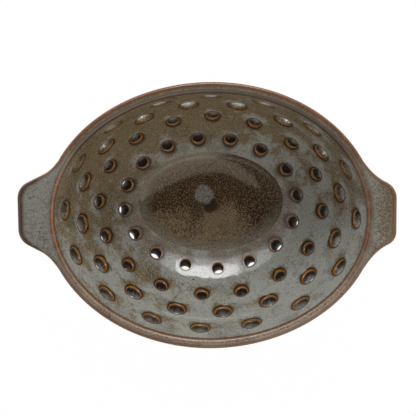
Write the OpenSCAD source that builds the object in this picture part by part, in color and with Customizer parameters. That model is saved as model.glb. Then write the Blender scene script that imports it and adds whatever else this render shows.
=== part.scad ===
// Oval berry colander bowl with two lug handles, in glazed stoneware.
// Origin on the table under the middle of the bowl, X along its length, Z up.

/* [Bowl] */
// Length of the bowl across the outside of the rim, without the handles
bowl_l = 222; // [200:1:244]
// Width of the bowl across the outside of the rim
bowl_w = 179; // [150:1:220]
// Height of the bowl from the table to the top of the rim
bowl_h = 90; // [80:1:115]
// Thickness of the wall, measured level at the rim
wall_t = 6.5; // [4:0.5:9]
// Slope of the upper wall above level, in degrees
wall_slope = 72; // [68:1:78]

/* [Floor] */
// Length of the flat floor inside the bowl
floor_l = 96; // [84:1:108]
// Thickness of the floor
floor_t = 6; // [4:0.5:9]

/* [Rim] */
// Height of the rim above the seam where it is luted to the wall
rim_h = 4; // [3:0.5:8]
// Radius of the rounded edges of the rim
rim_r = 2.5; // [1:0.25:2.75]

/* [Foot] */
// Height of the foot ring under the floor
foot_h = 4; // [2.5:0.5:8]
// Width of the foot ring's tread
foot_w = 8; // [5:0.5:12]
// Radius of the foot ring's rounded lower edges
foot_r = 1.2; // [0.5:0.1:2]

/* [Handles] */
// Reach of each handle beyond the rim
handle_reach = 15; // [12:1:24]
// Width of each handle
handle_w = 47; // [38:1:52]
// Width over which each handle flares into the wall
handle_root_w = 64; // [58:1:76]
// Thickness of each handle
handle_t = 8; // [5:0.5:10]
// Drop from the top of the rim to the top of the handles
handle_drop = 1; // [0.5:0.25:4]
// Radius of the handle's outer corners
handle_r = 12; // [6:0.5:14]

/* [Drain holes] */
// Rows of holes up the wall
row_count = 4; // [2:1:5]
// Holes in each row
hole_count = 16; // [12:2:18]
// Bore of the holes in the lower half of the wall
small_bore = 7; // [4:0.25:8]
// Bore of the holes in the upper half of the wall
large_bore = 10; // [6:0.25:11]
// Rise of the lowest row above the floor
first_row_rise = 6; // [5:0.5:9]
// Drop of the highest row below the top of the rim
last_row_drop = 17; // [15:0.5:22]

/* [Hidden] */
$fn = 72;

// The rim's rounded edges leave a little flat between them,
// and the wall's slope would run on past them by the rim's swell
line_lean = 1 / tan(wall_slope);
skin_t = wall_t * sin(wall_slope);
rim_edge_r = min(rim_r, 0.45 * skin_t);
rim_edge_z = bowl_h - rim_edge_r;
rim_swell = rim_edge_r * (line_lean + 1 / sin(wall_slope) - 1);

// Half length of the wall's slopes at the top of the rim, outside and inside,
// and the width of each oval for its length
out_a = bowl_l / 2 + rim_swell;
in_a = out_a - wall_t;
out_ratio = bowl_w / bowl_l;
in_ratio = (out_a * out_ratio - wall_t) / in_a;

// Heights of the floor, of the seam under the rim and of the top of the handles
floor_z = foot_h + floor_t;
seam_z = bowl_h - rim_h;
handle_z = bowl_h - handle_drop;

// Heights of the hole rows on the inner wall, and the turn from hole to hole
first_row_z = floor_z + first_row_rise;
last_row_z = bowl_h - last_row_drop;
row_step = (last_row_z - first_row_z) / (row_count - 1);
hole_pitch = 360 / hole_count;

// The inner section is a sloping line down to a bend between the last two rows,
// then an arc tangent to it that ends at the floor's edge
floor_a = floor_l / 2;
bend_z = last_row_z - row_step / 2;
bend_x = in_a - (bowl_h - bend_z) * line_lean;
chord = norm([bend_x - floor_a, bend_z - floor_z]);
chord_slope = atan2(bend_z - floor_z, bend_x - floor_a);
in_bend_r = chord / (2 * sin(wall_slope - chord_slope));
arc_x = bend_x - in_bend_r * sin(wall_slope);
arc_z = bend_z + in_bend_r * cos(wall_slope);

// The outer section runs parallel to the inner one, down to the foot
out_bend_r = in_bend_r + skin_t;
foot_a = arc_x + sqrt(pow(out_bend_r, 2) - pow(arc_z - foot_h, 2));

// Ring sections start at this radius, inside the floor's edge
core_x = floor_a / 2;

// Room that a cutting shape takes beyond the faces that it cuts
cut = 1;

// Half length of the wall's straight part at a height
function line_x(z, top_x) = top_x - (bowl_h - z) * line_lean;

// Half length and slope of the inner wall at a height
function inner_x(z) =
    z > bend_z ? line_x(z, in_a) : arc_x + sqrt(pow(in_bend_r, 2) - pow(arc_z - z, 2));
function inner_slope(z) = z > bend_z ? wall_slope : acos((arc_z - z) / in_bend_r);

// Turn round the oval that spaces holes evenly along its edge instead of by angle
function even_turn(turn) =
    turn + 45 / PI * (1 - pow(in_ratio, 2)) / (1 + pow(in_ratio, 2)) * sin(2 * turn);

// Section revolved in quarters, each narrowed to an oval
module oval(ratio) {
    for (quarter = [0 : 3])
        scale([1, ratio, 1]) rotate([0, 0, 90 * quarter]) rotate_extrude(angle = 90) children();
}

// Ring section from the core out to a wall line that is tangent to an arc
module wall_section(low_z, high_z, start_x, top_x, bend_r) {
    tangent_x = arc_x + bend_r * sin(wall_slope);
    tangent_z = arc_z - bend_r * cos(wall_slope);
    intersection() {
        translate([arc_x, arc_z]) circle(bend_r);
        translate([start_x, low_z]) square([bowl_l, tangent_z - low_z]);
    }
    polygon([
        [start_x, tangent_z],
        [tangent_x, tangent_z],
        [line_x(high_z, top_x), high_z],
        [start_x, high_z]
    ]);
}

// Outside of the bowl as a solid ring, up to a height
module outside(high_z) {
    oval(out_ratio) wall_section(foot_h, high_z, core_x, out_a, out_bend_r);
}

// Space inside the bowl, as a ring that clears the core
module inside() {
    oval(in_ratio) wall_section(floor_z, bowl_h + cut, core_x - 2 * cut, in_a, in_bend_r);
}

// Bore square to the inner wall
module drain_hole(z, turn, bore) {
    bearing = atan2(sin(turn) / in_ratio, cos(turn));
    lean = atan(tan(inner_slope(z)) * norm([cos(turn), sin(turn) / in_ratio]));
    translate([inner_x(z) * cos(turn), inner_x(z) * in_ratio * sin(turn), z])
        rotate([0, 180 - lean, bearing])
            cylinder(h = 4 * wall_t, d = bore, center = true, $fn = 24);
}

// Staggered rows that straddle the long axis, small below the middle and large above it
module drain_holes() {
    for (row = [0 : row_count - 1], i = [0 : hole_count - 1])
        drain_hole(
            first_row_z + row * row_step,
            even_turn((i + 1 / 4 + row % 2 / 2) * hole_pitch),
            row < row_count / 2 ? small_bore : large_bore
        );
}

module bowl_wall() {
    color("#7a786f") difference() {
        outside(seam_z);
        inside();
        oval(in_ratio) translate([core_x - 2 * cut, foot_h - cut])
            square([floor_a - core_x + 2 * cut, floor_t + 2 * cut]);
        drain_holes();
    }
}

module bowl_floor() {
    color("#4c3f34") oval(in_ratio) translate([0, foot_h]) square([floor_a, floor_t]);
}

// Outer half of the rim's section, with its rounded outer edge
module rim_outer_section() {
    edge_x = line_x(rim_edge_z, out_a) - rim_edge_r / sin(wall_slope);
    polygon([
        [core_x, seam_z],
        [line_x(seam_z, out_a), seam_z],
        [edge_x + rim_edge_r * sin(wall_slope), rim_edge_z - rim_edge_r * cos(wall_slope)],
        [edge_x, rim_edge_z],
        [edge_x, bowl_h],
        [core_x, bowl_h]
    ]);
    intersection() {
        translate([edge_x, rim_edge_z]) circle(rim_edge_r);
        translate([edge_x, seam_z]) square([rim_edge_r + cut, rim_h]);
    }
}

// Mouth that the rim opens round, widened over its rounded inner edge
module rim_mouth_section() {
    edge_x = line_x(rim_edge_z, in_a) + rim_edge_r / sin(wall_slope);
    low_z = seam_z - cut;
    difference() {
        polygon([
            [core_x - 2 * cut, low_z],
            [line_x(low_z, in_a), low_z],
            [edge_x - rim_edge_r * sin(wall_slope), rim_edge_z + rim_edge_r * cos(wall_slope)],
            [edge_x, rim_edge_z],
            [edge_x, bowl_h + cut],
            [core_x - 2 * cut, bowl_h + cut]
        ]);
        translate([edge_x, rim_edge_z]) circle(rim_edge_r);
    }
}

module rim() {
    color("#8a6a4c") difference() {
        oval(out_ratio) rim_outer_section();
        oval(in_ratio) rim_mouth_section();
    }
}

module foot_ring() {
    tread_x = foot_a - foot_w;
    color("#a08a72") oval(out_ratio) {
        translate([tread_x, foot_r]) square([foot_w, foot_h - foot_r]);
        translate([tread_x + foot_r, 0]) square([foot_w - 2 * foot_r, foot_r]);
        for (x = [tread_x + foot_r, foot_a - foot_r])
            translate([x, foot_r]) circle(foot_r);
    }
}

// Plan of a lug: round outer corners, and sides that flare into the wall
module handle_plan() {
    // Point just under the handle where the flare leaves the oval, and the oval's direction there
    root_a = line_x(handle_z - handle_t - cut, out_a);
    root_y = handle_root_w / 2;
    root_x = root_a * sqrt(1 - pow(root_y / (root_a * out_ratio), 2));
    away = [root_x, root_y / pow(out_ratio, 2)] / norm([root_x, root_y / pow(out_ratio, 2)]);
    flare_r = (root_y - handle_w / 2) / (1 - away[1]);
    flare_x = root_x + flare_r * away[0];
    end_x = bowl_l / 2 + handle_reach;
    start_x = root_a / 2;

    difference() {
        union() {
            translate([start_x, -handle_w / 2]) square([end_x - handle_r - start_x, handle_w]);
            translate([start_x, handle_r - handle_w / 2]) square([end_x - start_x, handle_w - 2 * handle_r]);
            for (side = [-1, 1])
                translate([end_x - handle_r, side * (handle_w / 2 - handle_r)]) circle(handle_r);
            polygon([
                [start_x, -root_y],
                [root_x, -root_y],
                [flare_x, -handle_w / 2],
                [flare_x, handle_w / 2],
                [root_x, root_y],
                [start_x, root_y]
            ]);
        }
        for (side = [-1, 1])
            translate([flare_x, side * (handle_w / 2 + flare_r)]) circle(flare_r);
    }
}

module right_handle() {
    color("#80796c") difference() {
        translate([0, 0, handle_z - handle_t]) linear_extrude(handle_t) handle_plan();
        outside(seam_z);
        oval(out_ratio) rim_outer_section();
    }
}

module left_handle() {
    mirror([1, 0, 0]) right_handle();
}

bowl_wall();
bowl_floor();
rim();
foot_ring();
left_handle();
right_handle();
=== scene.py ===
import math

import bmesh
import bpy
import numpy as np
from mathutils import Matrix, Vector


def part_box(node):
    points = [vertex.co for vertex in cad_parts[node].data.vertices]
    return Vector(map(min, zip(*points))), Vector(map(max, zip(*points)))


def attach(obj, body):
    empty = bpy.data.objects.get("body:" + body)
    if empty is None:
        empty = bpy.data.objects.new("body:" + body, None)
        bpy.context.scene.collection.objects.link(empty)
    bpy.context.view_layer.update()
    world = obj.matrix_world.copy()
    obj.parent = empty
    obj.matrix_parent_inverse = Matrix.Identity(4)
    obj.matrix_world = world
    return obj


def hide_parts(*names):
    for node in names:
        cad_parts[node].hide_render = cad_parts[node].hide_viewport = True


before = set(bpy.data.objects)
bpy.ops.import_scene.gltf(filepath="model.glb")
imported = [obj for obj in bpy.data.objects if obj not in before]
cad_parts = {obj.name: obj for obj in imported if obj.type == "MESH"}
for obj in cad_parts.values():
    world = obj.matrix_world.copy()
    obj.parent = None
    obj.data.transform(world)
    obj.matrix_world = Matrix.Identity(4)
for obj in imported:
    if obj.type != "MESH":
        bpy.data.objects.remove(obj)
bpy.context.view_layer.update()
mm = 0.001                      # the scene is in metres, the pieces' sizes are in mm
print("frame loaded:", ", ".join(sorted(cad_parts)))


def boxOf(node):
    low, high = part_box(node)
    return np.array(low) / mm, np.array(high) / mm


# the bowl's inside: sloping sides down to a bend, then arcs to the floor's edge (lengthwise, crosswise)
bowlForm = {
    "topZ": boxOf("rim")[1][2],
    "bendZ": 61,
    "floorZ": boxOf("bowl_floor")[1][2],
    "mouthHalf": (104.6, 83.0),
    "floorHalf": (52.0, 35.8),
    "slope": (72, 78),          # of the upper sides, degrees above level
    "thick": 6.3,
    "heel": 2.6,                # extra thickness low on the wall
    "heelZ": (8, 17),           # where it starts and where it is thickest
    "belly": 1.7,               # how far the near side swells out, low on the wall
    "bellyZ": (24, 8),          # height of the swelling, and how far up and down it fades
    "farRim": 0.7,              # how much thicker the rim is at the far side than at the near one
    "sway": 0.35,               # how far the hand-made shape wanders
    # in waves along x, y and z, in radians per mm, and where they start
    "swayTurns": ((0, 1 / 37, 1 / 29), (1 / 41, 0, -1 / 33), (1 / 35, 1 / 43, 0)),
    "swayStart": (0.7, 2.1, 4.0),
}


def unit(vectors):
    return vectors / np.linalg.norm(vectors, axis=-1, keepdims=True)


def sideArc(side):
    slope = math.radians(bowlForm["slope"][side])
    bendHalf = bowlForm["mouthHalf"][side] - (bowlForm["topZ"] - bowlForm["bendZ"]) / math.tan(slope)
    run = bendHalf - bowlForm["floorHalf"][side]
    rise = bowlForm["bendZ"] - bowlForm["floorZ"]
    radius = math.hypot(run, rise) / (2 * math.sin(slope - math.atan2(rise, run)))
    middle = bendHalf - radius * math.sin(slope)
    middleZ = bowlForm["bendZ"] + radius * math.cos(slope)
    return slope, radius, middle, middleZ


sideArcs = [sideArc(0), sideArc(1)]


def halfAndLean(z, side):       # half length or width of the inside at a height, and its growth with height
    slope, radius, middle, middleZ = sideArcs[side]
    root = np.sqrt(radius ** 2 - (middleZ - z) ** 2)
    straight = z > bowlForm["bendZ"]
    line = bowlForm["mouthHalf"][side] - (bowlForm["topZ"] - z) / math.tan(slope)
    half = np.where(straight, line, middle + root)
    lean = np.where(straight, 1 / math.tan(slope), (middleZ - z) / root)
    return half, lean


def insideAt(turn, z):          # place, outward normal, direction round and direction up
    turn, z = np.broadcast_arrays(np.asarray(turn, float), np.asarray(z, float))
    a, aLean = halfAndLean(z, 0)
    b, bLean = halfAndLean(z, 1)
    c, s = np.cos(turn), np.sin(turn)
    bellyZ, bellyFade = bowlForm["bellyZ"]
    belly = bowlForm["belly"] * np.exp(-((z - bellyZ) / bellyFade) ** 2) * ((1 - s) / 2) ** 2
    b = b + belly
    bLean = bLean - belly * 2 * (z - bellyZ) / bellyFade ** 2
    place = np.stack((a * c, b * s, z), -1)
    out = unit(np.stack((b * c, a * s, -(a * bLean * s * s + b * aLean * c * c)), -1))
    around = np.stack((-a * s, b * c, 0 * c), -1)
    up = np.stack((aLean * c, bLean * s, 1 + 0 * c), -1)
    return place, out, around, up


def thickAt(z):                 # the wall is thickest at the heel, just above the floor
    start, peak = bowlForm["heelZ"]
    share = (z - start) / (peak - start)
    return bowlForm["thick"] + bowlForm["heel"] * share * np.exp(1 - share)


mouthRatio = bowlForm["mouthHalf"][1] / bowlForm["mouthHalf"][0]
evenness = (1 - mouthRatio ** 2) / (1 + mouthRatio ** 2) / 4


def turnAt(arc):                # equal steps of arc are equal steps along the oval's edge
    return arc + evenness * np.sin(2 * arc)


def planOut(turn, z):           # level outward direction of the oval
    out = insideAt(turn, z)[1].copy()
    out[..., 2] = 0
    return unit(out)


def rimWide(turn):              # level thickness of the rim, a little more at the far side
    out = insideAt(turn, bowlForm["topZ"])[1]
    more = bowlForm["farRim"] * ((1 + np.sin(turn)) / 2) ** 2
    return bowlForm["thick"] / np.hypot(out[..., 0], out[..., 1]) + more


def outsideAt(turn, z):         # outer face of the wall, run up to any height
    return insideAt(turn, z)[0] + planOut(turn, z) * rimWide(turn)[..., None]


def handmade(place):            # slow waves that every piece shares, so that the seams stay shut
    phase = (place[..., None, :] * np.array(bowlForm["swayTurns"])).sum(-1) + bowlForm["swayStart"]
    return place + bowlForm["sway"] * np.sin(phase) * place[..., 2:] / bowlForm["topZ"]


def gridFaces(count, points, roundColumns=True, roundPoints=True):
    faces = []
    for c in range(count if roundColumns else count - 1):
        for p in range(points if roundPoints else points - 1):
            d = (c + 1) % count
            q = (p + 1) % points
            faces.append((c * points + p, d * points + p, d * points + q, c * points + q))
    return faces


meshCare = {
    "weld": 0.004,              # points closer than this become one
    "sharpAngle": 50,           # edges that bend more than this stay sharp
}


def tidyMesh(mesh, bridges=()):     # bridges: heights between which two open edges are joined
    bm = bmesh.new()
    bm.from_mesh(mesh)
    bmesh.ops.remove_doubles(bm, verts=bm.verts, dist=meshCare["weld"] * mm)
    for lowZ, highZ in bridges:
        edges = [e for e in bm.edges if e.is_boundary and lowZ < e.verts[0].co.z / mm < highZ]
        bmesh.ops.bridge_loops(bm, edges=edges)
    bmesh.ops.recalc_face_normals(bm, faces=bm.faces)
    loose = sum(1 for e in bm.edges if not e.is_manifold)
    bm.to_mesh(mesh)
    bm.free()
    mesh.shade_smooth()
    mesh.set_sharp_from_angle(angle=math.radians(meshCare["sharpAngle"]))
    print("  ", mesh.name, len(mesh.polygons), "faces,", loose, "open edges")


def setLayer(mesh, name, values, kind="FLOAT"):     # a number at each point of a mesh
    values = np.ravel(values).astype(np.int32 if kind == "INT" else np.float32)
    mesh.attributes.new(name, kind, "POINT").data.foreach_set("value", values)


def addObject(name, data):
    item = bpy.data.objects.new(name, data)
    bpy.context.scene.collection.objects.link(item)
    return item


def makePiece(name, place, faces, layers):
    mesh = bpy.data.meshes.new(name)
    mesh.from_pydata((handmade(place.reshape(-1, 3)) * mm).tolist(), [], faces)
    for layer, values in layers.items():
        setLayer(mesh, layer, values)
    tidyMesh(mesh)
    return addObject(name, mesh)


def putOn(piece, node, finish):
    piece.data.materials.clear()
    piece.data.materials.append(finish)
    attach(piece, "root")
    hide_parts(node)


def wire(tree, socket, value):
    if isinstance(value, bpy.types.NodeSocket):
        tree.links.new(value, socket)
    elif value is not None:
        socket.default_value = value


def addNode(tree, kind, inputs=None, **settings):
    node = tree.nodes.new(kind)
    for key, value in settings.items():
        setattr(node, key, value)
    for socket, value in (inputs or {}).items():
        wire(tree, node.inputs[socket], value)
    return node


# finishes
def rgb(red, green, blue):
    return (red, green, blue, 1.0)


def noiseFac(tree, coords, size, detail, rough, warp=0.0):      # size of the blotches in mm
    inputs = {
        "Vector": coords, "Scale": 1 / (size * mm), "Detail": detail,
        "Roughness": rough, "Distortion": warp,
    }
    return addNode(tree, "ShaderNodeTexNoise", inputs).outputs["Fac"]


def ranged(tree, value, low, high, toLow=0.0, toHigh=1.0, kind="SMOOTHSTEP"):
    inputs = {"Value": value, "From Min": low, "From Max": high, "To Min": toLow, "To Max": toHigh}
    return addNode(tree, "ShaderNodeMapRange", inputs, interpolation_type=kind).outputs["Result"]


def fade(tree, place, span, toLow, toHigh):     # from one place to another, in mm
    return ranged(tree, place, span[0] * mm, span[1] * mm, toLow, toHigh)


def stretch(tree, noise, low, high):    # the span that nearly all of a noise keeps to, stretched to another
    return ranged(tree, noise, 0.3, 0.7, low, high)


def maths(tree, operation, first, second=None):
    return addNode(tree, "ShaderNodeMath", {0: first, 1: second}, operation=operation).outputs[0]


def plus(tree, first, *others):
    for other in others:
        first = maths(tree, "ADD", first, other)
    return first


def times(tree, first, *others):
    for other in others:
        first = maths(tree, "MULTIPLY", first, other)
    return first


def mixed(tree, share, first, second):
    node = addNode(tree, "ShaderNodeMix", {0: share, 6: first, 7: second}, data_type="RGBA")
    return node.outputs[2]


def meshLayer(tree, name):      # a number that the mesh carries at each point
    return addNode(tree, "ShaderNodeAttribute", attribute_name=name).outputs["Fac"]


def band(tree, gap, stops):     # rows of a distance in mm, red, green, blue and share, as a ramp
    low, high = stops[0][0], stops[-1][0]
    node = addNode(tree, "ShaderNodeValToRGB", {"Fac": ranged(tree, gap, low, high, kind="LINEAR")})
    steps = node.color_ramp.elements
    steps[0].position, steps[0].color = 0.0, stops[0][1:]
    steps[1].position, steps[1].color = 1.0, stops[-1][1:]
    for distance, *colour in stops[1:-1]:
        steps.new((distance - low) / (high - low)).color = colour
    return node.outputs["Color"], node.outputs["Alpha"]


def startFinish(name):
    finish = bpy.data.materials.new(name)
    finish.use_nodes = True
    tree = finish.node_tree
    coords = addNode(tree, "ShaderNodeTexCoord").outputs["Object"]
    return finish, tree, coords


def spotShare(tree, coords, spot, ragged):      # a ragged round spot, all in mm
    inputs = {0: coords, 1: [c * mm for c in spot["centre"]]}
    away = addNode(tree, "ShaderNodeVectorMath", inputs, operation="DISTANCE").outputs["Value"]
    away = plus(tree, maths(tree, "DIVIDE", away, mm), ragged)
    return ranged(tree, away, spot["radius"] - spot["soft"], spot["radius"] + spot["soft"], 1.0, 0.0)


def coat(tree, height, deep, strength, inputs):     # the finish's shader, over a bump this deep in mm
    bump = addNode(tree, "ShaderNodeBump", {"Strength": strength, "Distance": deep * mm, "Height": height})
    for socket, value in dict(inputs, Normal=bump.outputs["Normal"]).items():
        wire(tree, tree.nodes["Principled BSDF"].inputs[socket], value)


# blue-grey where the glaze lies thick, brown where it is thin, iron specks and grain throughout
glaze = {
    "cloud": (26, 4, 0.6, 0.5),     # size in mm, detail, roughness and warp of the noise
    "streak": (7, 4, 0.62, 0.6),
    "grain": (2, 0.6),              # detail and roughness, as each finish has its own size
    "smokeSpan": 0.22,
    "speckCell": 14,
    "speck": (0.6, 0.9),            # distances from a speck's middle at which it starts to fade and is gone
    "speckShare": 0.85,
    "ior": 1.52,
}


def glazeColour(tree, coords, look, brown):
    cloud = noiseFac(tree, coords, *glaze["cloud"])
    streak = noiseFac(tree, coords, *glaze["streak"])
    grain = noiseFac(tree, coords, look["grainSize"], *glaze["grain"])
    parts = [times(tree, noise, share) for noise, share in zip((cloud, streak, grain), look["mottle"])]
    mottle = plus(tree, *parts, brown)
    colour = mixed(tree, ranged(tree, mottle, *look["brownRange"]), look["pool"], look["thin"])
    smoke = ranged(tree, maths(tree, "SUBTRACT", cloud, streak), 0.0, glaze["smokeSpan"], 0, look["smoke"])
    colour = mixed(tree, smoke, colour, look["dark"])
    for tone, way in (("dark", 1), ("light", -1)):
        share = ranged(tree, grain, 0.5, 0.5 + way * look["grainSpan"], 0, look["grain"])
        colour = mixed(tree, share, colour, look[tone])
    inputs = {"Vector": coords, "Scale": 1 / (glaze["speckCell"] * mm)}
    cells = addNode(tree, "ShaderNodeTexVoronoi", inputs).outputs["Distance"]
    low, high = [distance / glaze["speckCell"] for distance in glaze["speck"]]
    colour = mixed(tree, ranged(tree, cells, low, high, glaze["speckShare"], 0), colour, look["dark"])
    return colour, cloud, streak, grain


def glossOver(tree, colour, cloud, streak, look, matt=None):
    rough = stretch(tree, cloud, *look["rough"])
    if matt is not None:
        rough = addNode(tree, "ShaderNodeMix", {0: matt, 2: rough, 3: look["mattRough"]}).outputs[0]
    coat(tree, streak, look["peel"], 1.0, {"Base Color": colour, "Roughness": rough, "IOR": glaze["ior"]})


rustOrange = rgb(0.26, 0.103, 0.014)
rustDeep = rgb(0.1, 0.037, 0.012)

wallLook = {
    "pool": rgb(0.294, 0.302, 0.275),
    "thin": rgb(0.172, 0.128, 0.07),
    "dark": rgb(0.045, 0.033, 0.02),
    "light": rgb(0.3, 0.3, 0.27),
    "mottle": (0.42, 0.44, 0.14),       # shares of the clouds, the streaks and the grain
    "brownRange": (0.43, 0.57),
    "smoke": 0.36,
    # leaning brown: from one place to another in mm, and by how much there
    "farBrown": ((-70, 70), -0.1, 0.06),
    "sideBrown": ((-80, 80), 0.095, -0.01),
    "lowBrown": ((12, 19), -0.22, 0),   # upwards from the floor
    "lowShare": ((10, 40), 0, 1),       # but on the far side alone
    "runBrown": 0.27,           # below each hole, where the glaze ran off
    "grain": 0.48,
    "grainSize": 1.0,
    "grainSpan": 0.17,
    "rough": (0.06, 0.12),
    "peel": 0.05,               # how deep the glaze's ripples are
    # inside the bores: painted light where pale, painted shade where dark, with noise from and to and the
    # share there
    "paleColour": rgb(0.47, 0.5, 0.51),
    "paintedLightGrain": (0.35, 0.6, 1.0, 0.55),
    "paintedShadeColour": rgb(0.006, 0.004, 0.003),
    "paintedShadeSpeck": rgb(0.035, 0.023, 0.016),
    "paintedShadeSpecks": (0.45, 0.62),
    "paintedShadeStreak": (0.4, 0.6, 0.7, 1.1),
    "paintedShadeGrain": (0.38, 0.6, 0.8, 1.1),
    "mattRough": 1.0,
    "lipWander": (0.22, 0.12),  # how far the rust strays with the streaks and with the grain
    # from inside a bore, over its lip and out onto the wall: a painted shade line just inside the crest, the
    # rust, then a dark halo that is partly pooled glaze and partly painted shade
    "lip": (
        (-0.4, 0.05, 0.03, 0.02, 0.0),
        (-0.1, 0.03, 0.015, 0.01, 0.85),
        (0.06, 0.09, 0.038, 0.016, 0.95),
        (0.22, *rustOrange),
        (0.8, *rustOrange),
        (0.98, *rustDeep),
        (1.14, 0.02, 0.01, 0.005, 0.95),
        (1.85, 0.022, 0.013, 0.008, 0.85),
        (2.4, 0.035, 0.024, 0.015, 0.4),
        (3.6, 0.05, 0.035, 0.024, 0.0),
    ),
}


def wallFinish(look):
    finish, tree, coords = startFinish("wallGlaze")
    x, y, z = addNode(tree, "ShaderNodeSeparateXYZ", {0: coords}).outputs
    low = times(tree, fade(tree, z, *look["lowBrown"]), fade(tree, y, *look["lowShare"]))
    runOff = times(tree, meshLayer(tree, "runOff"), look["runBrown"])
    brown = plus(tree, fade(tree, y, *look["farBrown"]), low, fade(tree, x, *look["sideBrown"]), runOff)
    colour, cloud, streak, grain = glazeColour(tree, coords, look, brown)

    # painted light inside the bores where the layer is below nothing, painted shade where it is above
    paintedShading = meshLayer(tree, "paintedShading")
    pale = times(tree, ranged(tree, paintedShading, 0, -1), ranged(tree, grain, *look["paintedLightGrain"]))
    colour = mixed(tree, pale, colour, look["paleColour"])
    patchy = times(tree, ranged(tree, streak, *look["paintedShadeStreak"]), ranged(tree, grain, *look["paintedShadeGrain"]))
    dark = ranged(tree, times(tree, paintedShading, patchy), 0, 1, kind="LINEAR")
    paintedShadeTone = mixed(tree, ranged(tree, grain, *look["paintedShadeSpecks"]), look["paintedShadeColour"], look["paintedShadeSpeck"])
    colour = mixed(tree, dark, colour, paintedShadeTone)

    wander = [stretch(tree, noise, -far, far) for noise, far in zip((streak, grain), look["lipWander"])]
    rust, share = band(tree, plus(tree, meshLayer(tree, "edgeGap"), *wander), look["lip"])
    glossOver(tree, mixed(tree, share, colour, rust), cloud, streak, look, dark)
    return finish


edgeLook = {
    "pool": rgb(0.192, 0.146, 0.108),
    "thin": rgb(0.098, 0.075, 0.05),
    "endPool": rgb(0.17, 0.171, 0.152),
    "endThin": rgb(0.1, 0.079, 0.053),
    "dark": rgb(0.045, 0.028, 0.018),
    "light": rgb(0.24, 0.22, 0.19),
    "mottle": (0.4, 0.4, 0.2),
    "brownRange": (0.42, 0.6),
    "smoke": 0.3,
    # leaning grey or brown: from one place to another in mm, and by how much there
    "farBrown": ((-70, 70), -0.03, 0.11),
    "endBrown": ((100, 120), -0.1, 0.1),    # grey at the left handle, brown towards the right one's end
    "grain": 0.42,
    "grainSize": 1.1,
    "grainSpan": 0.14,
    "rough": (0.15, 0.25),
    "peel": 0.05,
    "speckle": (0.35, 0.65, -0.7, 0.7),     # grain from and to, and how far the rust strays there
    # streaks and grain from and to, and the share of the bead's rust that the glaze leaves there
    "breakStreak": (0.45, 0.65, 1.0, 0.62),
    "breakGrain": (0.47, 0.64, 1.0, 0.62),
    # where the bead and the edges change, in mm
    "byHandle": ((84, 103), 0, 1),
    "byLeft": ((-10, 10), 1, 0),
    "byFar": ((-20, 30), 0, 1),
    "byLeftEnd": ((-118, -108), 1, 0),
    # across the bead, from the wall to the flat, at the near and the far side and by the handles; the near
    # side's pale crest is a painted highlight, the far side's dark bead is partly painted shade and partly
    # the glaze's own brown
    "beadNear": (
        (-4.2, 0.05, 0.03, 0.02, 0.0),
        (-2.9, 0.045, 0.024, 0.015, 0.7),
        (-1.8, 0.15, 0.055, 0.014, 0.9),
        (-1.0, 0.17, 0.09, 0.05, 0.85),
        (-0.3, 0.3, 0.22, 0.17, 0.75),
        (0.9, 0.24, 0.18, 0.14, 0.0),
    ),
    "beadFar": (
        (-4.2, 0.05, 0.03, 0.02, 0.0),
        (-2.9, 0.04, 0.023, 0.014, 0.9),
        (-1.0, 0.045, 0.025, 0.015, 0.95),
        (0.6, 0.06, 0.036, 0.022, 0.8),
        (2.0, 0.1, 0.07, 0.048, 0.0),
    ),
    "beadLeft": (
        (-3.4, 0.05, 0.03, 0.018, 0.0),
        (-2.2, 0.03, 0.014, 0.006, 0.9),
        (-1.2, 0.1, 0.036, 0.008, 1.0),
        (-0.7, 0.29, 0.088, 0.009, 1.0),
        (0.0, 0.22, 0.07, 0.009, 1.0),
        (0.7, 0.05, 0.02, 0.007, 0.9),
        (1.4, 0.05, 0.028, 0.017, 0.6),
        (3.0, 0.06, 0.035, 0.02, 0.0),
    ),
    "beadRight": (
        (-3.6, 0.05, 0.03, 0.018, 0.0),
        (-2.4, 0.05, 0.028, 0.016, 0.8),
        (-1.2, 0.15, 0.05, 0.005, 1.0),
        (0.3, 0.11, 0.038, 0.005, 1.0),
        (1.5, 0.045, 0.022, 0.008, 0.95),
        (4.0, 0.06, 0.036, 0.018, 0.0),
    ),
    # from the outside of the edge, over it and in onto the flat
    "edge": (
        (-3.0, 0.07, 0.036, 0.018, 0.6),
        (-0.8, 0.1, 0.029, 0.003, 1.0),
        (0.1, 0.2, 0.062, 0.006, 1.0),
        (0.9, 0.15, 0.05, 0.008, 0.9),
        (1.8, 0.055, 0.027, 0.012, 0.5),
        (3.0, 0.07, 0.045, 0.03, 0.0),
    ),
    "leftEdge": (
        (-3.0, 0.06, 0.03, 0.014, 0.9),
        (0.0, 0.075, 0.032, 0.013, 0.95),
        (1.0, 0.036, 0.018, 0.009, 0.95),
        (2.2, 0.045, 0.026, 0.014, 0.85),
        (4.2, 0.07, 0.05, 0.034, 0.0),
    ),
}


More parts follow.
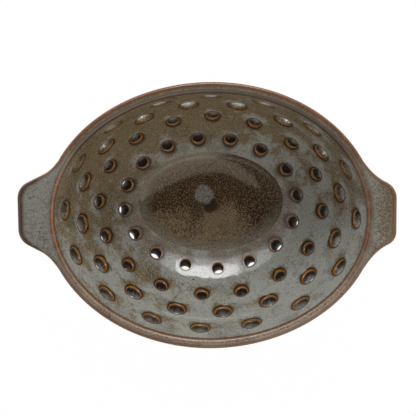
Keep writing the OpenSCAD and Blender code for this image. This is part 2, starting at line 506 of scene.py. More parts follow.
def edgeFinish(look):           # rim and handles: a bead inside, a worn edge outside
    finish, tree, coords = startFinish("edgeGlaze")
    x, y, _ = addNode(tree, "ShaderNodeSeparateXYZ", {0: coords}).outputs
    byHandle = fade(tree, maths(tree, "ABSOLUTE", x), *look["byHandle"])
    byLeft = fade(tree, x, *look["byLeft"])
    byFar = fade(tree, y, *look["byFar"])
    bySide, byRight, byNear = [maths(tree, "SUBTRACT", 1.0, share) for share in (byHandle, byLeft, byFar)]
    sideBrown = times(tree, bySide, fade(tree, y, *look["farBrown"]))
    endBrown = times(tree, byHandle, fade(tree, x, *look["endBrown"]))
    pool = mixed(tree, byHandle, look["pool"], look["endPool"])
    thin = mixed(tree, byHandle, look["thin"], look["endThin"])
    blend = dict(look, pool=pool, thin=thin)
    colour, cloud, streak, grain = glazeColour(tree, coords, blend, plus(tree, sideBrown, endBrown))

    speckle = ranged(tree, grain, *look["speckle"])
    beadGap = plus(tree, meshLayer(tree, "beadGap"), speckle)
    edgeGap = plus(tree, meshLayer(tree, "edgeGap"), speckle)
    broken = ranged(tree, streak, *look["breakStreak"])
    broken = times(tree, broken, ranged(tree, grain, *look["breakGrain"]))
    # the near bead's pale crest is a painted highlight, the far bead's dark is partly painted shade
    for gap, stops, where in (
        (beadGap, "beadNear", (bySide, byNear)),
        (beadGap, "beadFar", (bySide, byFar)),
        (beadGap, "beadLeft", (byHandle, broken, byLeft)),
        (beadGap, "beadRight", (byHandle, broken, byRight)),
        (edgeGap, "edge", ()),
        (edgeGap, "leftEdge", (fade(tree, x, *look["byLeftEnd"]),)),
    ):
        rust, share = band(tree, gap, look[stops])
        colour = mixed(tree, times(tree, share, *where), colour, rust)
    glossOver(tree, colour, cloud, streak, look)
    return finish


floorLook = {
    "pool": rgb(0.215, 0.157, 0.094),
    "thin": rgb(0.05, 0.024, 0.005),
    "dark": rgb(0.016, 0.007, 0.002),
    "light": rgb(0.34, 0.262, 0.17),
    "mottle": (0.36, 0.28, 0.36),
    "brownRange": (0.41, 0.6),
    "smoke": 0.3,
    # leaning dark: from one place to another in mm, and by how much there
    "sideBrown": ((0, 45), 0.13, 0.24),
    "farBrown": ((-28, 12), -0.2, 0.06),
    "patchBrown": -0.16,
    "lightPatch": {"centre": (14, -14, 9), "radius": 13, "soft": 12},
    "grain": 0.42,
    "grainSize": 1.0,
    "grainSpan": 0.1,
    "rough": (0.04, 0.06),
    "peel": 0.012,
    "edgeNear": rgb(0.224, 0.205, 0.164),
    "edgeFar": rgb(0.179, 0.146, 0.1),
    "edgeGrain": 0.45,
    "edgeByFar": ((-25, 20), 0, 1),
    "edgeWide": (-2, 11),       # distances in from the edge over which the floor loses the wall's colour
    "corner": ((25, 50), 0.95, 0.3),    # share of that colour, less towards the far right
    "ragged": 2.5,              # how far the edge strays with the streaks
    "spotRagged": 0.4,          # and the spots, as a share of it
    "spotGrain": (0.46, 0.58, 1.0, 0.3),
    "paleSpot": {"centre": (-5.0, 5.3, 9.0), "radius": 6.8, "soft": 1.3},
    "paleColour": rgb(0.25, 0.252, 0.225),
    "darkSpot": {"centre": (0.2, -3.6, 9.0), "radius": 4.8, "soft": 1.3},
    "darkColour": rgb(0.024, 0.009, 0.003),
}


def floorFinish(look):
    finish, tree, coords = startFinish("floorGlaze")
    x, y, _ = addNode(tree, "ShaderNodeSeparateXYZ", {0: coords}).outputs
    patch = times(tree, spotShare(tree, coords, look["lightPatch"], 0.0), look["patchBrown"])
    brown = plus(tree, fade(tree, x, *look["sideBrown"]), fade(tree, y, *look["farBrown"]), patch)
    colour, cloud, streak, grain = glazeColour(tree, coords, look, brown)

    ragged = stretch(tree, streak, -look["ragged"], look["ragged"])
    edge = mixed(tree, fade(tree, y, *look["edgeByFar"]), look["edgeNear"], look["edgeFar"])
    specks = ranged(tree, grain, 0.5, 0.5 + look["grainSpan"], 0, look["edgeGrain"])
    edge = mixed(tree, specks, edge, look["thin"])
    inward = ranged(tree, plus(tree, meshLayer(tree, "floorGap"), ragged), *look["edgeWide"], 1, 0)
    share = times(tree, fade(tree, plus(tree, x, y), *look["corner"]), inward)
    colour = mixed(tree, share, colour, edge)
    for tone in ("dark", "pale"):
        share = spotShare(tree, coords, look[tone + "Spot"], times(tree, ragged, look["spotRagged"]))
        share = times(tree, share, ranged(tree, grain, *look["spotGrain"]))
        colour = mixed(tree, share, colour, look[tone + "Colour"])
    glossOver(tree, colour, cloud, streak, look)
    return finish


clayLook = {
    "pale": rgb(0.36, 0.25, 0.16),
    "brown": rgb(0.27, 0.17, 0.1),
    "dark": rgb(0.12, 0.08, 0.05),
    "stain": (14, 3, 0.6),      # size in mm, detail and roughness of the noise
    "stainSpan": (0.35, 0.65),
    "grit": (0.7, 3, 0.65),
    "gritSpan": (0.55, 0.7, 0, 0.6),
    "gritDeep": 0.2,
    "gritBump": 0.5,
    "rough": 0.85,
}


def clayFinish(look):
    finish, tree, coords = startFinish("bareClay")
    stain = noiseFac(tree, coords, *look["stain"])
    grit = noiseFac(tree, coords, *look["grit"])
    colour = mixed(tree, ranged(tree, stain, *look["stainSpan"]), look["pale"], look["brown"])
    colour = mixed(tree, ranged(tree, grit, *look["gritSpan"]), colour, look["dark"])
    coat(tree, grit, look["gritDeep"], look["gritBump"], {"Base Color": colour, "Roughness": look["rough"]})
    return finish


wallGlaze = wallFinish(wallLook)
edgeGlaze = edgeFinish(edgeLook)
floorGlaze = floorFinish(floorLook)
bareClay = clayFinish(clayLook)
print("finishes made")

# wall with its drain holes: one pierced tile, repeated in staggered rows and wrapped onto the bowl
drainHoles = {
    "perRow": 16,
    "rowZ": (16.4, 32.5, 49.7, 72.6),
    "edgeZ": (bowlForm["floorZ"], 24.5, 41.5, 61.5, boxOf("rim")[0][2]),
    "bore": (7.4, 7.5, 10.4, 10.6),
    "lip": (1.1, 1.1, 1.35, 1.35),
    "lipBelow": 0.45,           # the lip is smaller by this share at the sides than below, by twice it above
    "rustNarrow": (1.25, 0.75), # its rust is narrower at the sides by the first, by the second less so below
    "outerLip": 0.4,
    "lipLift": 0.1,
    "liftWide": 2.2,
    # painted shade: how dark the bores are inside at the near and the far side, or painted light: how pale
    # where it is negative
    "paintedShading": ((1.15, 1.05), (1.1, 0.45), (0.72, -0.7), (0.62, -0.75)),
    "farShade": (0.0, 0.3, 0.7, 0.8),   # painted shade: how much darker a bore's far side is than its middle, and its near side paler
    "deepShade": (0.6, 0.7, 0.5, 0.4),  # and its inner end, with painted light at its outer end
    "paintedShadeRise": 2.2,            # how fast the painted shade sets in past the crest of the lip
    "runOff": 3.5,              # how far the thin glaze below a hole reaches
    "firstArc": 7.6,            # degrees round to the first hole
    "rowArc": (-1.2, 0.2, 0.4, 1.2),    # and further in each row
    "crowdLeft": 2.1,           # the rows crowd towards the left by this many degrees
    "crowdEnds": (1.9, 1.6, 1.2, 0.5),  # and towards the ends by this, less in each higher row
    # the bores' outer ends stand off square to the wall: upwards, to the right and to the near side
    "lean": ((1.55, 0.75, 0.0), (0.3, 1.0, 0.9), (0.5, 0.5, 0.5), (0.4, 0.0, 0.0)),
    "jitter": 0.7,              # how far a hole strays: degrees round
    "jitterUp": 0.5,            # and mm up or down for each degree
    "seed": 7,
    "flatTile": (0.2, 0.05, 0.2),       # radius, lip and depth of the hole in a tile that isn't wrapped yet
    "tileSide": 12,             # edge pieces along each side of a tile
    # rings from the inner face to the outer one: spread to the tile's edge, bend over the lip, way through
    "rings": (
        (1.0, 0, 0), (0.62, 0, 0), (0.36, 0, 0), (0.18, 0, 0), (0.07, 0, 0),
        (0, 0, 0), (0, 18, 0), (0, 36, 0), (0, 54, 0), (0, 72, 0), (0, 90, 0),
        (0, 90, 0.5),
        (0, 90, 1), (0, 60, 1), (0, 30, 1), (0, 0, 1), (0.15, 0, 1), (0.45, 0, 1), (1.0, 0, 1),
    ),
}
spokes = 4 * drainHoles["tileSide"]
pitch = 2 * math.pi / drainHoles["perRow"]
columns = drainHoles["perRow"] * drainHoles["tileSide"]
firstArc = math.radians(drainHoles["firstArc"])
columnTurn = turnAt(firstArc + np.arange(columns) * pitch / drainHoles["tileSide"])


def tileEdge():                 # points round a unit square, from the middle of its right side
    steps = (np.arange(spokes) / drainHoles["tileSide"] + 0.5) % 4
    side, share = np.floor(steps), steps % 1
    x = np.select([side == 0, side == 1, side == 2], [0.5, 0.5 - share, -0.5], share - 0.5)
    y = np.select([side == 0, side == 1, side == 2], [share - 0.5, 0.5, 0.5 - share], -0.5)
    return x, y


def piercedTile():
    edgeX, edgeY = tileEdge()
    angle = np.arange(spokes) * 2 * math.pi / spokes
    radius, lip, deep = drainHoles["flatTile"]
    place = []
    for spread, bend, through in drainHoles["rings"]:
        hole = radius + lip * (1 - math.sin(math.radians(bend)))
        x = hole * np.cos(angle) * (1 - spread) + edgeX * spread
        y = hole * np.sin(angle) * (1 - spread) + edgeY * spread
        place.append(np.stack((x, y, np.full(spokes, -deep * through)), -1))
    rings = len(place)
    mesh = bpy.data.meshes.new("bowlWall")
    faces = gridFaces(spokes, rings, roundPoints=False)
    mesh.from_pydata(np.stack(place, 1).reshape(-1, 3).tolist(), [], faces)
    setLayer(mesh, "spoke", np.repeat(np.arange(spokes), rings), "INT")
    setLayer(mesh, "ring", np.tile(np.arange(rings), spokes), "INT")
    return addObject("bowlWall", mesh)


def rowTree():
    tree = bpy.data.node_groups.new("drainRows", "GeometryNodeTree")
    kinds = {
        "Geometry": "NodeSocketGeometry", "Holes in a row": "NodeSocketInt", "Rows": "NodeSocketInt",
        "Jitter": "NodeSocketFloat", "Seed": "NodeSocketInt", "Glaze": "NodeSocketMaterial",
    }
    keys = {}
    for label, kind in kinds.items():
        keys[label] = tree.interface.new_socket(label, in_out="INPUT", socket_type=kind).identifier
    tree.interface.new_socket("Geometry", in_out="OUTPUT", socket_type="NodeSocketGeometry")
    given = tree.nodes.new("NodeGroupInput").outputs
    count = times(tree, given["Holes in a row"], given["Rows"])
    index = tree.nodes.new("GeometryNodeInputIndex").outputs[0]
    row = maths(tree, "FLOOR", maths(tree, "DIVIDE", index, given["Holes in a row"]))
    hole = maths(tree, "MODULO", index, given["Holes in a row"])
    stagger = times(tree, maths(tree, "MODULO", row, 2.0), 0.5)
    along = plus(tree, hole, stagger)
    spot = addNode(tree, "ShaderNodeCombineXYZ", {"X": along, "Y": row}).outputs[0]
    dots = addNode(tree, "GeometryNodePoints", {"Count": count, "Position": spot}).outputs[0]
    inputs = {0: times(tree, given["Jitter"], -1.0), 1: given["Jitter"], "ID": index, "Seed": given["Seed"]}
    drift = addNode(tree, "FunctionNodeRandomValue", inputs, data_type="FLOAT_VECTOR").outputs[0]
    layers = (("row", "INT", row), ("hole", "INT", hole), ("drift", "FLOAT_VECTOR", drift))
    for layer, kind, value in layers:
        inputs = {"Geometry": dots, "Name": layer}
        keep = addNode(tree, "GeometryNodeStoreNamedAttribute", inputs, data_type=kind)
        tree.links.new(value, keep.inputs["Value"])
        dots = keep.outputs[0]
    inputs = {"Points": dots, "Instance": given["Geometry"]}
    tiles = addNode(tree, "GeometryNodeInstanceOnPoints", inputs).outputs[0]
    solid = addNode(tree, "GeometryNodeRealizeInstances", {"Geometry": tiles}).outputs[0]
    inputs = {"Geometry": solid, "Material": given["Glaze"]}
    dressed = addNode(tree, "GeometryNodeSetMaterial", inputs).outputs[0]
    addNode(tree, "NodeGroupOutput", {"Geometry": dressed})
    return tree, keys


def repeatTile(piece):
    tree, keys = rowTree()
    rows = piece.modifiers.new("drainRows", "NODES")
    rows.node_group = tree
    rows[keys["Holes in a row"]] = drainHoles["perRow"]
    rows[keys["Rows"]] = len(drainHoles["rowZ"])
    rows[keys["Jitter"]] = drainHoles["jitter"]
    rows[keys["Seed"]] = drainHoles["seed"]
    rows[keys["Glaze"]] = wallGlaze
    graph = bpy.context.evaluated_depsgraph_get()
    flat = bpy.data.meshes.new_from_object(piece.evaluated_get(graph), depsgraph=graph)
    piece.modifiers.remove(rows)
    piece.data = flat
    print("  ", len(flat.vertices), "points in the repeated tiles")


def layerOf(mesh, name, kind=np.int32, wide=1, field="value"):
    values = np.zeros(len(mesh.vertices) * wide, kind)
    mesh.attributes[name].data.foreach_get(field, values)
    return values.reshape(-1, wide) if wide > 1 else values


def wrapTiles(piece):
    mesh = piece.data
    row, hole = layerOf(mesh, "row"), layerOf(mesh, "hole")
    ring, spoke = layerOf(mesh, "ring"), layerOf(mesh, "spoke")
    drift = layerOf(mesh, "drift", np.float32, 3, "vector")

    def perRow(name):
        return np.array(drainHoles[name])[row]

    table = np.array(drainHoles["rings"], float)
    spread, bend, through = table[ring, 0], np.radians(table[ring, 1]), table[ring, 2]
    edgeX, edgeY = tileEdge()
    rowZ, edgeZ = np.array(drainHoles["rowZ"]), np.array(drainHoles["edgeZ"])

    # the tile's own place, and the hole's middle a little off it
    tileArc = firstArc + (hole + 0.5 * (row % 2)) * pitch
    edgeArc = tileArc + edgeX[spoke] * pitch
    edgeHeight = edgeZ[row] + (edgeY[spoke] + 0.5) * (edgeZ[row + 1] - edgeZ[row])
    wander = drainHoles["crowdLeft"] * np.sin(tileArc) - perRow("crowdEnds") * np.sin(2 * tileArc)
    holeArc = tileArc + np.radians(wander + perRow("rowArc") + drift[:, 0])
    holeZ = rowZ[row] + drainHoles["jitterUp"] * drift[:, 1]

    # a true circle on the wall's surface, from the surface's own directions at the hole
    angle = spoke * 2 * math.pi / spokes
    below = -np.sin(angle)
    lip = perRow("lip") * (1 - drainHoles["lipBelow"] * (1 - below))
    lip = np.where(through == 1, drainHoles["outerLip"], lip)
    reach = perRow("bore") / 2 + lip * (1 - np.sin(bend))
    _, out, around, up = insideAt(turnAt(holeArc), holeZ)
    around = around * (1 + 2 * evenness * np.cos(2 * holeArc))[:, None]
    stepRound = np.linalg.norm(around, axis=1)
    level = around / stepRound[:, None]
    rise = np.cross(out, level)
    leanShare = through * (1 - spread)
    leanUp, leanRight, leanNear = (perRow("lean") * leanShare[:, None]).T
    goRound = reach * np.cos(angle) + leanRight * level[:, 0] - leanNear * level[:, 1]
    goUp = reach * np.sin(angle) + leanUp + leanRight * rise[:, 0] - leanNear * rise[:, 1]
    dz = goUp / np.sum(up * rise, axis=1)
    dArc = (goRound - dz * np.sum(up * level, axis=1)) / stepRound
    arc = (holeArc + dArc) * (1 - spread) + edgeArc * spread
    z = (holeZ + dz) * (1 - spread) + edgeHeight * spread

    sink = lip * (1 - np.cos(bend))
    thick = thickAt(z)
    depth = np.select([through == 0, through == 1], [sink, thick - sink], thick / 2)
    fromMiddle = np.hypot((arc - holeArc) * stepRound, (z - holeZ) * np.sum(up * rise, axis=1))
    beyond = np.clip(fromMiddle - reach, 0, None) / drainHoles["liftWide"]
    raised = np.exp(-beyond ** 2) * np.cos(bend) * (1 - spread)
    depth = depth - drainHoles["lipLift"] * np.where(through == 0, raised, 0)
    place, out, _, _ = insideAt(turnAt(arc), z)
    place = place + out * depth[:, None]

    # distance from the crest of the lip, less than nothing inside the bore
    tileCount = drainHoles["perRow"] * len(rowZ)
    order = np.lexsort((spoke, ring, hole, row))
    grid = place[order].reshape(tileCount, len(table), spokes, 3)
    innerCrest, outerCrest = [drainHoles["rings"].index((0, 0, side)) for side in (0, 1)]
    lipRing = np.where(table[:, 2] == 1, outerCrest, innerCrest)
    away = np.linalg.norm(grid - grid[:, lipRing], axis=-1).reshape(-1)
    gap = np.empty(len(place))
    gap[order] = away
    onFace, onLip = gap + lip * math.pi / 4, lip * (math.pi / 4 - bend)
    gap = np.select([spread > 0, through == 0.5], [onFace, -thick / 2], onLip)

    mesh.vertices.foreach_set("co", (handmade(place) * mm).astype(np.float32).ravel())
    # the rust is broadest below a hole, and the glaze runs thin there
    runOff = np.where(through == 0, below * np.exp(-np.clip(gap - lip, 0, None) / drainHoles["runOff"]), 0)
    # painted shade in the bores, painted light where it is below nothing: set for the near and the far side
    # of each row, darker towards a bore's far side and inner end, paler towards its near side and outer end
    inBore = np.where(through > 0, bend > 0, np.clip(-gap / lip * drainHoles["paintedShadeRise"], 0, 1))
    nearShading, farShading = perRow("paintedShading").T
    toFar = np.cos(angle) * level[:, 1] + np.sin(angle) * rise[:, 1]
    paintedShading = nearShading + (farShading - nearShading) * ((1 + np.sin(tileArc)) / 2) ** 3
    paintedShading = paintedShading + perRow("farShade") * toFar + perRow("deepShade") * (1 - 2 * through)
    narrow, lessBelow = drainHoles["rustNarrow"]
    setLayer(mesh, "edgeGap", np.where(gap > 0, gap * (narrow - lessBelow * below), gap))
    setLayer(mesh, "runOff", runOff)
    setLayer(mesh, "paintedShading", paintedShading * inBore)
    for layer in ("row", "hole", "ring", "spoke", "drift"):
        mesh.attributes.remove(mesh.attributes[layer])
    middleZ = (edgeZ[0] + edgeZ[-1]) / 2
    tidyMesh(mesh, [(0, middleZ), (middleZ, 2 * middleZ)])


bowlWall = piercedTile()
repeatTile(bowlWall)
wrapTiles(bowlWall)
putOn(bowlWall, "bowl_wall", wallGlaze)
print("wall pierced with", drainHoles["perRow"] * len(drainHoles["rowZ"]), "drain holes")

# lug handles: tapered tabs in line with the top of the rim, flaring into it
lugs = {
    "endX": {"leftHandle": -128.0, "rightHandle": 123.4},
    "middleY": 1.8,
    "rootHalf": 35.5,           # half width where the flare leaves the rim
    "sideAt": (9.5, 22.6),      # a point on the slanting side: back from the end, half width
    "sideSlant": 27,            # degrees off the bowl's length
    "corner": 12,
    "cornerRoom": 0.98,         # share of the side beyond the flare that a corner takes at most
    "edge": 2.4,                # rounding of the edges
    "thick": 8.0,
    "topDrop": 0.4,             # below the crest of the rim's bead
    "leastWide": 0.05,
    "tipWide": 8.0,             # the sides lean with the wall where the flare is narrower than this
    "columns": 121,
    "across": 14,
    "sideSteps": 4,
    "bendSteps": 16,
    "rootSteps": 2000,          # in which a quarter of the rim is searched for the root
}
flatZ = bowlForm["topZ"] - lugs["topDrop"]
crest = (1 - math.sqrt(0.5)) * lugs["edge"]     # how far in from an edge the middle of its rounding is


def fillet(before, corner, after, radius):
    into, away = unit(corner - before), unit(after - corner)
    swing = math.acos(float(into @ away))
    side = unit(away - into * math.cos(swing))
    angle = np.linspace(0, swing, lugs["bendSteps"])[:, None]
    start = corner - into * radius * math.tan(swing / 2)
    return start + radius * (np.sin(angle) * into + (1 - np.cos(angle)) * side)


def halfLug(end, shift):        # outline from a root to the middle of the end, and the root's turn
    turns = np.linspace(0, math.pi / 2, lugs["rootSteps"])
    rimEdge = outsideAt(turns, flatZ)[:, :2]
    root = int(np.argmin(abs(rimEdge[:, 1] - lugs["rootHalf"] - shift)))
    rootRun = unit(rimEdge[root - 1] - rimEdge[root + 1])
    slant = math.radians(lugs["sideSlant"])
    sideRun = np.array((math.cos(slant), -math.sin(slant)))
    back, halfWide = lugs["sideAt"]
    sideAt = np.array((end - back, halfWide + shift))
    reach = np.linalg.solve(np.stack((rootRun, -sideRun), 1), sideAt - rimEdge[root])[0]
    bendAt = rimEdge[root] + rootRun * reach
    cornerAt = sideAt + sideRun * back / sideRun[0]
    middle = np.array((end, shift))
    flareTurn = math.acos(float(rootRun @ sideRun))
    flare = fillet(rimEdge[root], bendAt, cornerAt, reach / math.tan(flareTurn / 2))
    room = np.linalg.norm(cornerAt - bendAt) - reach        # what the flare leaves for the corner
    cornerRound = min(lugs["corner"], lugs["cornerRoom"] * room / math.tan(math.pi / 4 - slant / 2))
    corner = fillet(bendAt, cornerAt, middle, cornerRound)
    return np.concatenate((flare, corner, middle[None])), turns[root]


def lugPlan(name):              # outline and matching turns round the rim, evenly spaced from root to root
    endX = lugs["endX"][name]
    far, farTurn = halfLug(abs(endX), lugs["middleY"])
    near, nearTurn = halfLug(abs(endX), -lugs["middleY"])
    path = np.concatenate((far, (near * (1, -1))[-2::-1]))
    walked = np.concatenate(([0], np.cumsum(np.linalg.norm(np.diff(path, axis=0), axis=1))))
    steps = np.linspace(0, walked[-1], lugs["columns"])
    path = np.stack((np.interp(steps, walked, path[:, 0]), np.interp(steps, walked, path[:, 1])), -1)
    turn = np.linspace(farTurn, -nearTurn, lugs["columns"])
    if endX < 0:
        return path * (-1, 1), math.pi - turn
    return path, turn


def roundDrop(gap, radius):     # fall of a rounded edge at a distance in from it
    inside = np.clip(radius - gap, 0, radius)
    return radius - np.sqrt(radius ** 2 - inside ** 2)


def lugAcross(name):            # the outline, the turns it meets the rim at and how far out it runs there
    outline, turn = lugPlan(name)
    seam = outsideAt(turn, flatZ)[:, :2]
    out = planOut(turn, flatZ)[:, :2]
    least = lugs["leastWide"]
    outline = np.where(np.linalg.norm(outline - seam, axis=1)[:, None] < least, seam + least * out, outline)
    return outline, turn, np.linalg.norm(outline - seam, axis=1)


def makeLug(name):
    outline, turn, width = lugAcross(name)
    edge = lugs["edge"]
    underZ = flatZ - lugs["thick"]
    tip = np.clip(1 - width / lugs["tipWide"], 0, 1)
    leanIn = (insideAt(turn, flatZ)[0] - insideAt(turn, underZ)[0])[:, :2] / lugs["thick"]
    fall = roundDrop(width, edge)               # the rim's edge is lower and further in towards the roots
    seam = outsideAt(turn, flatZ - fall)[:, :2]
    outline = outline - leanIn * (fall * tip)[:, None]
    underSeam = outsideAt(turn, underZ + roundDrop(width, edge))[:, :2]

    shares = np.sin(np.linspace(0, math.pi / 2, lugs["across"]))
    rows, gaps = [], []

    def addFace(level, way, inner, outer, order):       # from the rim out to the edge, or back
        for share in order:
            gap = (1 - share) * width
            z = level - way * roundDrop(gap, edge)
            rows.append(np.column_stack((inner + share * (outer - inner), z)))
            gaps.append(gap - crest)

    addFace(flatZ, 1, seam, outline, shares)
    for z in np.linspace(flatZ - edge, underZ + edge, lugs["sideSteps"])[1:-1]:
        rows.append(np.column_stack((outline - leanIn * (tip * (flatZ - z))[:, None], 0 * width + z)))
        gaps.append(0 * width - min(flatZ - z, z - underZ) + crest)
    lowOutline = outline - leanIn * (tip * (lugs["thick"] - edge))[:, None]
    addFace(underZ, -1, underSeam, lowOutline, shares[::-1])
    place = np.stack(rows, 1)
    count, points = place.shape[:2]
    faces = gridFaces(count, points, roundColumns=False)
    faces += [tuple(range(points)), tuple(range((count - 1) * points, count * points))]
    fromBead = np.linalg.norm(place[:, :, :2] - seam[:, None], axis=-1) + rimWide(turn)[:, None]
    return makePiece(name, place, faces, {"edgeGap": np.stack(gaps, 1), "beadGap": fromBead})


leftHandle = makeLug("leftHandle")
rightHandle = makeLug("rightHandle")
putOn(leftHandle, "left_handle", edgeGlaze)
putOn(rightHandle, "right_handle", edgeGlaze)
print("handles flared into the rim")

# rim: a bead along the inner edge, then a flat that rounds over outside or runs on into a handle
rimForm = {
    "bead": 1.7,
    "beadWide": 3.4,
    "seamSteps": 3,
    "beadSteps": 6,
    "slopeSteps": 5,
    "flatSteps": 10,
    "straight": 0.6,            # stretch of the outside below its rounded edge
    "seamZ": drainHoles["edgeZ"][-1],
    "seamGap": -6.0,            # the seam counts as this far from the edge, past its rust
}


def rimColumns():               # turns round the rim, the handles' own where they meet it, and their widths
    turn, width = columnTurn % (2 * math.pi), np.zeros(columns)
    for name in lugs["endX"]:
        _, lugTurn, lugWidth = lugAcross(name)
        middle = (lugTurn[0] + lugTurn[-1]) / 2
        swing = (turn - middle + math.pi) % (2 * math.pi) - math.pi
        clear = abs(swing) > abs(lugTurn[0] - middle)
        turn = np.concatenate((turn[clear], lugTurn % (2 * math.pi)))
        width = np.concatenate((width[clear], lugWidth))
    order = np.argsort(turn)
    return turn[order], width[order]


def makeRim():
    turn, lugWidth = rimColumns()
    topZ, bead, beadWide = bowlForm["topZ"], rimForm["bead"], rimForm["beadWide"]
    fall = lugs["edge"] + rimForm["straight"]
    beadTop = bead * (math.pi / 2 - 1)      # where its round ends, counted from one radian round it
    wide = rimWide(turn)
    section = []                # level distance from the inner face, height, distance from edge, from bead

    def add(w, z, gap, beadGap):
        section.append(np.broadcast_arrays(w, z, gap, beadGap, wide)[:4])

    inner = wide + lugWidth
    for z in np.linspace(rimForm["seamZ"], topZ - bead, rimForm["seamSteps"])[:-1]:
        add(0, z, inner, z - topZ)
    for bend in np.linspace(0, math.pi / 2, rimForm["beadSteps"]):
        w = bead * (1 - math.cos(bend))
        add(w, topZ - bead + bead * math.sin(bend), inner - w, bead * (bend - 1.0))
    for share in np.linspace(0, 1, rimForm["slopeSteps"])[1:-1]:
        w = bead + (beadWide - bead) * share
        z = flatZ + (topZ - flatZ) * (1 + math.cos(math.pi * share)) / 2
        add(w, z, inner - w, w - bead + beadTop)
    for share in np.sin(np.linspace(0, math.pi / 2, rimForm["flatSteps"])):
        w = beadWide + (wide - beadWide) * share
        gap = inner - w
        add(w, flatZ - roundDrop(gap, lugs["edge"]), gap - crest, w - bead + beadTop)
    add(wide, flatZ - fall, crest - fall, wide)
    w, z, gap, beadGap = np.array(section).transpose(1, 2, 0)
    place = insideAt(turn[:, None], z)[0] + planOut(turn[:, None], z) * w[..., None]
    seam, out, _, _ = insideAt(turn, rimForm["seamZ"])
    place = np.concatenate((place, (seam + out * bowlForm["thick"])[:, None]), 1)
    gap = np.column_stack((gap, np.full(len(turn), rimForm["seamGap"])))
    beadGap = np.column_stack((beadGap, wide))
    return makePiece("rimLip", place, gridFaces(*place.shape[:2]), {"edgeGap": gap, "beadGap": beadGap})


rimLip = makeRim()
putOn(rimLip, "rim", edgeGlaze)
print("rim beaded")

# the wall's lower edges, inside and outside, which the floor and the foot meet
floorEdge, heelOut, _, _ = insideAt(columnTurn, bowlForm["floorZ"])
wallFoot = floorEdge + heelOut * thickAt(bowlForm["floorZ"])

# floor: a shallow dish inside a fine groove, with the recess of the foot below
floorForm = {
    "groove": 0.5,
    "grooveWide": 2.0,
    "grooveIn": (0.4, 2.6),     # the groove's distance from the wall at the near and the far side
    "dish": 1.4,
    "dishFlat": 4,              # the more, the flatter the middle of the dish
    "ripple": 0.04,
    "rippleSize": (8, 10),
    "rippleStart": 1,           # radians
    "rings": 26,
    "crowd": 0.7,               # the rings crowd towards the edge where this is less than 1
    "underZ": boxOf("bowl_floor")[0][2] + 0.25,     # a little up from the solid's underside
    "underRings": (1.0, 0.96, 0.75, 0.5, 0.25),
    "clearGap": 30,             # a distance from the edge that is clear of its colours
}


def makeFloor():
    near, far = floorForm["grooveIn"]
    rippleX, rippleY = floorForm["rippleSize"]
    grooveIn = near + (far - near) * (1 + np.sin(columnTurn)) / 2
    rows, gaps = [], []
    for share in np.linspace(0, 1, floorForm["rings"])[1:] ** floorForm["crowd"]:
        ring = floorEdge * share
        gap = np.linalg.norm(floorEdge[:, :2] - ring[:, :2], axis=1)
        step = np.clip((gap - grooveIn) / floorForm["grooveWide"], 0, 1)
        ripple = np.sin(ring[:, 0] / rippleX + floorForm["rippleStart"]) * np.sin(ring[:, 1] / rippleY)
        ring[:, 2] = bowlForm["floorZ"] - floorForm["groove"] * step * step * (3 - 2 * step)
        ring[:, 2] += floorForm["ripple"] * ripple * (1 - share)
        ring[:, 2] -= floorForm["dish"] * (1 - share ** floorForm["dishFlat"])
        rows.append(ring)
        gaps.append(gap - grooveIn)
    for share in floorForm["underRings"]:
        ring = wallFoot * share
        ring[:, 2] = wallFoot[:, 2] if share == 1 else floorForm["underZ"]
        rows.append(ring)
        gaps.append(np.full(len(ring), floorForm["clearGap"]))
    place = np.stack(rows, 1)
    count, points = place.shape[:2]
    faces = gridFaces(count, points, roundPoints=False)
    for row, centre in ((0, count * points), (points - 1, count * points + 1)):
        faces += [(c * points + row, (c + 1) % count * points + row, centre) for c in range(count)]
    middle = bowlForm["floorZ"] - floorForm["groove"] - floorForm["dish"]
    place = np.concatenate((place.reshape(-1, 3), [(0, 0, middle), (0, 0, floorForm["underZ"])]))
    gaps = np.concatenate((np.stack(gaps, 1).ravel(), [floorForm["clearGap"]] * 2))
    return makePiece("bowlFloor", place, faces, {"floorGap": gaps})


bowlFloor = makeFloor()
putOn(bowlFloor, "bowl_floor", floorGlaze)
print("floor dished")

# foot ring: unglazed, with a hollow curve up to the wall and a rounded tread
footForm = {
    "wide": 8.085,
    "edge": 1.2,
    "straight": 0.6,            # stretch between the hollow curve and the tread's rounded edge
    "setIn": 1.6,               # the tread stands in from the wall's lower edge
    "bendSteps": 5,
}


def makeFoot():
    inward = -planOut(columnTurn, bowlForm["floorZ"])
    topZ = wallFoot[:, 2]
    edge, setIn, wide = footForm["edge"], footForm["setIn"], footForm["wide"]
    bends = np.linspace(0, math.pi / 2, footForm["bendSteps"])
    hollow = topZ - edge - footForm["straight"]
    section = []                # distance in from the wall's lower edge, height
    for bend in bends:
        section.append((setIn * math.sin(bend), topZ - hollow * (1 - math.cos(bend))))
    for start, way in ((setIn, 1), (setIn + wide, -1)):
        for bend in bends[::way]:
            section.append((start + way * edge * (1 - math.cos(bend)), edge * (1 - math.sin(bend))))
    section.append((setIn + wide, floorForm["underZ"]))
    rows = []
    for setBack, z in section:
        ring = wallFoot + inward * setBack
        ring[:, 2] = z
        rows.append(ring)
    place = np.stack(rows, 1)
    return makePiece("footRing", place, gridFaces(*place.shape[:2]), {})


footRing = makeFoot()
putOn(footRing, "foot_ring", bareClay)
print("foot ring turned")

# table and studio light, in metres
studio = {
    "tableHalf": 4.0,
    "tableColour": rgb(0.85, 0.85, 0.85),
    "tableWhite": 0.985,        # share of the table's white that the bowl's shadow can't dim
    # lamps: distance, degrees off vertical towards the far side, shift to the right, size, brightness
    "lamps": {
        "keySoftbox": (1.1, 57, 0.03, (0.56, 0.28), 8.2),
        "keyScrim": (1.2, 55, -0.12, (1.4, 0.42), 2.5),
        "nearCard": (1.3, -35.5, 0.637, (1.33, 1.3), 1.22),
    },
    "cardTint": (1.0, 0.86, 0.68),
    "surround": 0.85,
    "ceiling": 0.1,
    "ceilingFrom": (0.72, 0.93),    # sines of the heights over which the surround dims to the ceiling
}


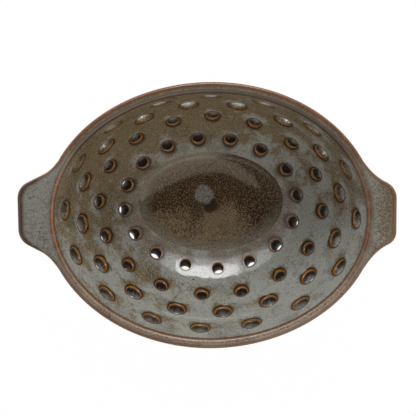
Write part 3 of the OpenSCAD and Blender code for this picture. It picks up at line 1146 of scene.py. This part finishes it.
def tableFinish():
    finish = bpy.data.materials.new("paleTable")
    finish.use_nodes = True
    tree = finish.node_tree
    tree.nodes.clear()
    rays = addNode(tree, "ShaderNodeLightPath").outputs
    seen = maths(tree, "MAXIMUM", rays["Is Camera Ray"], rays["Is Glossy Ray"])
    seen = maths(tree, "MAXIMUM", seen, rays["Is Transmission Ray"])
    share = times(tree, seen, studio["tableWhite"])
    matt = addNode(tree, "ShaderNodeBsdfDiffuse", {"Color": studio["tableColour"]}).outputs[0]
    white = addNode(tree, "ShaderNodeEmission", {"Color": rgb(1, 1, 1), "Strength": 1.0}).outputs[0]
    both = addNode(tree, "ShaderNodeMixShader", {0: share, 1: matt, 2: white}).outputs[0]
    addNode(tree, "ShaderNodeOutputMaterial", {"Surface": both})
    return finish


def makeTable():
    half = studio["tableHalf"]
    mesh = bpy.data.meshes.new("table")
    corners = [(-half, -half, 0), (half, -half, 0), (half, half, 0), (-half, half, 0)]
    mesh.from_pydata(corners, [], [(0, 1, 2, 3)])
    mesh.materials.append(tableFinish())
    addObject("table", mesh)


def makeLamp(name):
    away, offVertical, right, size, bright = studio["lamps"][name]
    lamp = bpy.data.lights.new(name, "AREA")
    lamp.shape = "RECTANGLE"
    lamp.size, lamp.size_y = size
    lamp.energy = bright * math.pi * size[0] * size[1]
    if name == "nearCard":
        lamp.color = studio["cardTint"]
    holder = addObject(name, lamp)
    tilt = math.radians(offVertical)
    holder.location = (right, away * math.sin(tilt), away * math.cos(tilt))
    holder.rotation_euler = (-tilt, 0, 0)


def makeSurround():
    world = bpy.data.worlds.new("surround")
    bpy.context.scene.world = world
    world.use_nodes = True
    tree = world.node_tree
    back = tree.nodes["Background"]
    heading = addNode(tree, "ShaderNodeTexCoord").outputs["Generated"]
    up = addNode(tree, "ShaderNodeSeparateXYZ", {0: heading}).outputs["Z"]
    level = ranged(tree, up, *studio["ceilingFrom"], studio["surround"], studio["ceiling"])
    rays = addNode(tree, "ShaderNodeLightPath").outputs
    strength = addNode(tree, "ShaderNodeMix", {0: rays["Is Camera Ray"], 2: level, 3: 1.0}).outputs[0]
    tree.links.new(strength, back.inputs["Strength"])
    back.inputs["Color"].default_value = rgb(1, 1, 1)


makeTable()
makeSurround()
for lampName in studio["lamps"]:
    makeLamp(lampName)

# the photograph's view: nearly straight down, from the far side of the bowl
photoView = {
    "distance": 900,            # from the rim, in mm
    "tilt": 7.9,                # degrees off straight down
    "pixelsPerMm": 1.512,       # at the height of the rim
    "framePixels": 416,
    "rimCentrePixel": (211.0, 217.6),
}


def makeCamera():
    distance, frameWide = photoView["distance"], photoView["framePixels"]
    lens = bpy.data.cameras.new("camera")
    lens.lens = lens.sensor_width * distance * photoView["pixelsPerMm"] / frameWide
    camera = addObject("camera", lens)
    tilt = math.radians(photoView["tilt"])
    right, down = [(p - frameWide / 2) / photoView["pixelsPerMm"] for p in photoView["rimCentrePixel"]]
    aim = np.array((-right, down / math.cos(tilt), bowlForm["topZ"]))
    camera.location = (aim + distance * np.array((0, math.sin(tilt), math.cos(tilt)))) * mm
    camera.rotation_euler = (-tilt, 0, 0)
    bpy.context.scene.camera = camera


makeCamera()
bpy.context.scene.view_settings.view_transform = "Standard"
print("studio set")
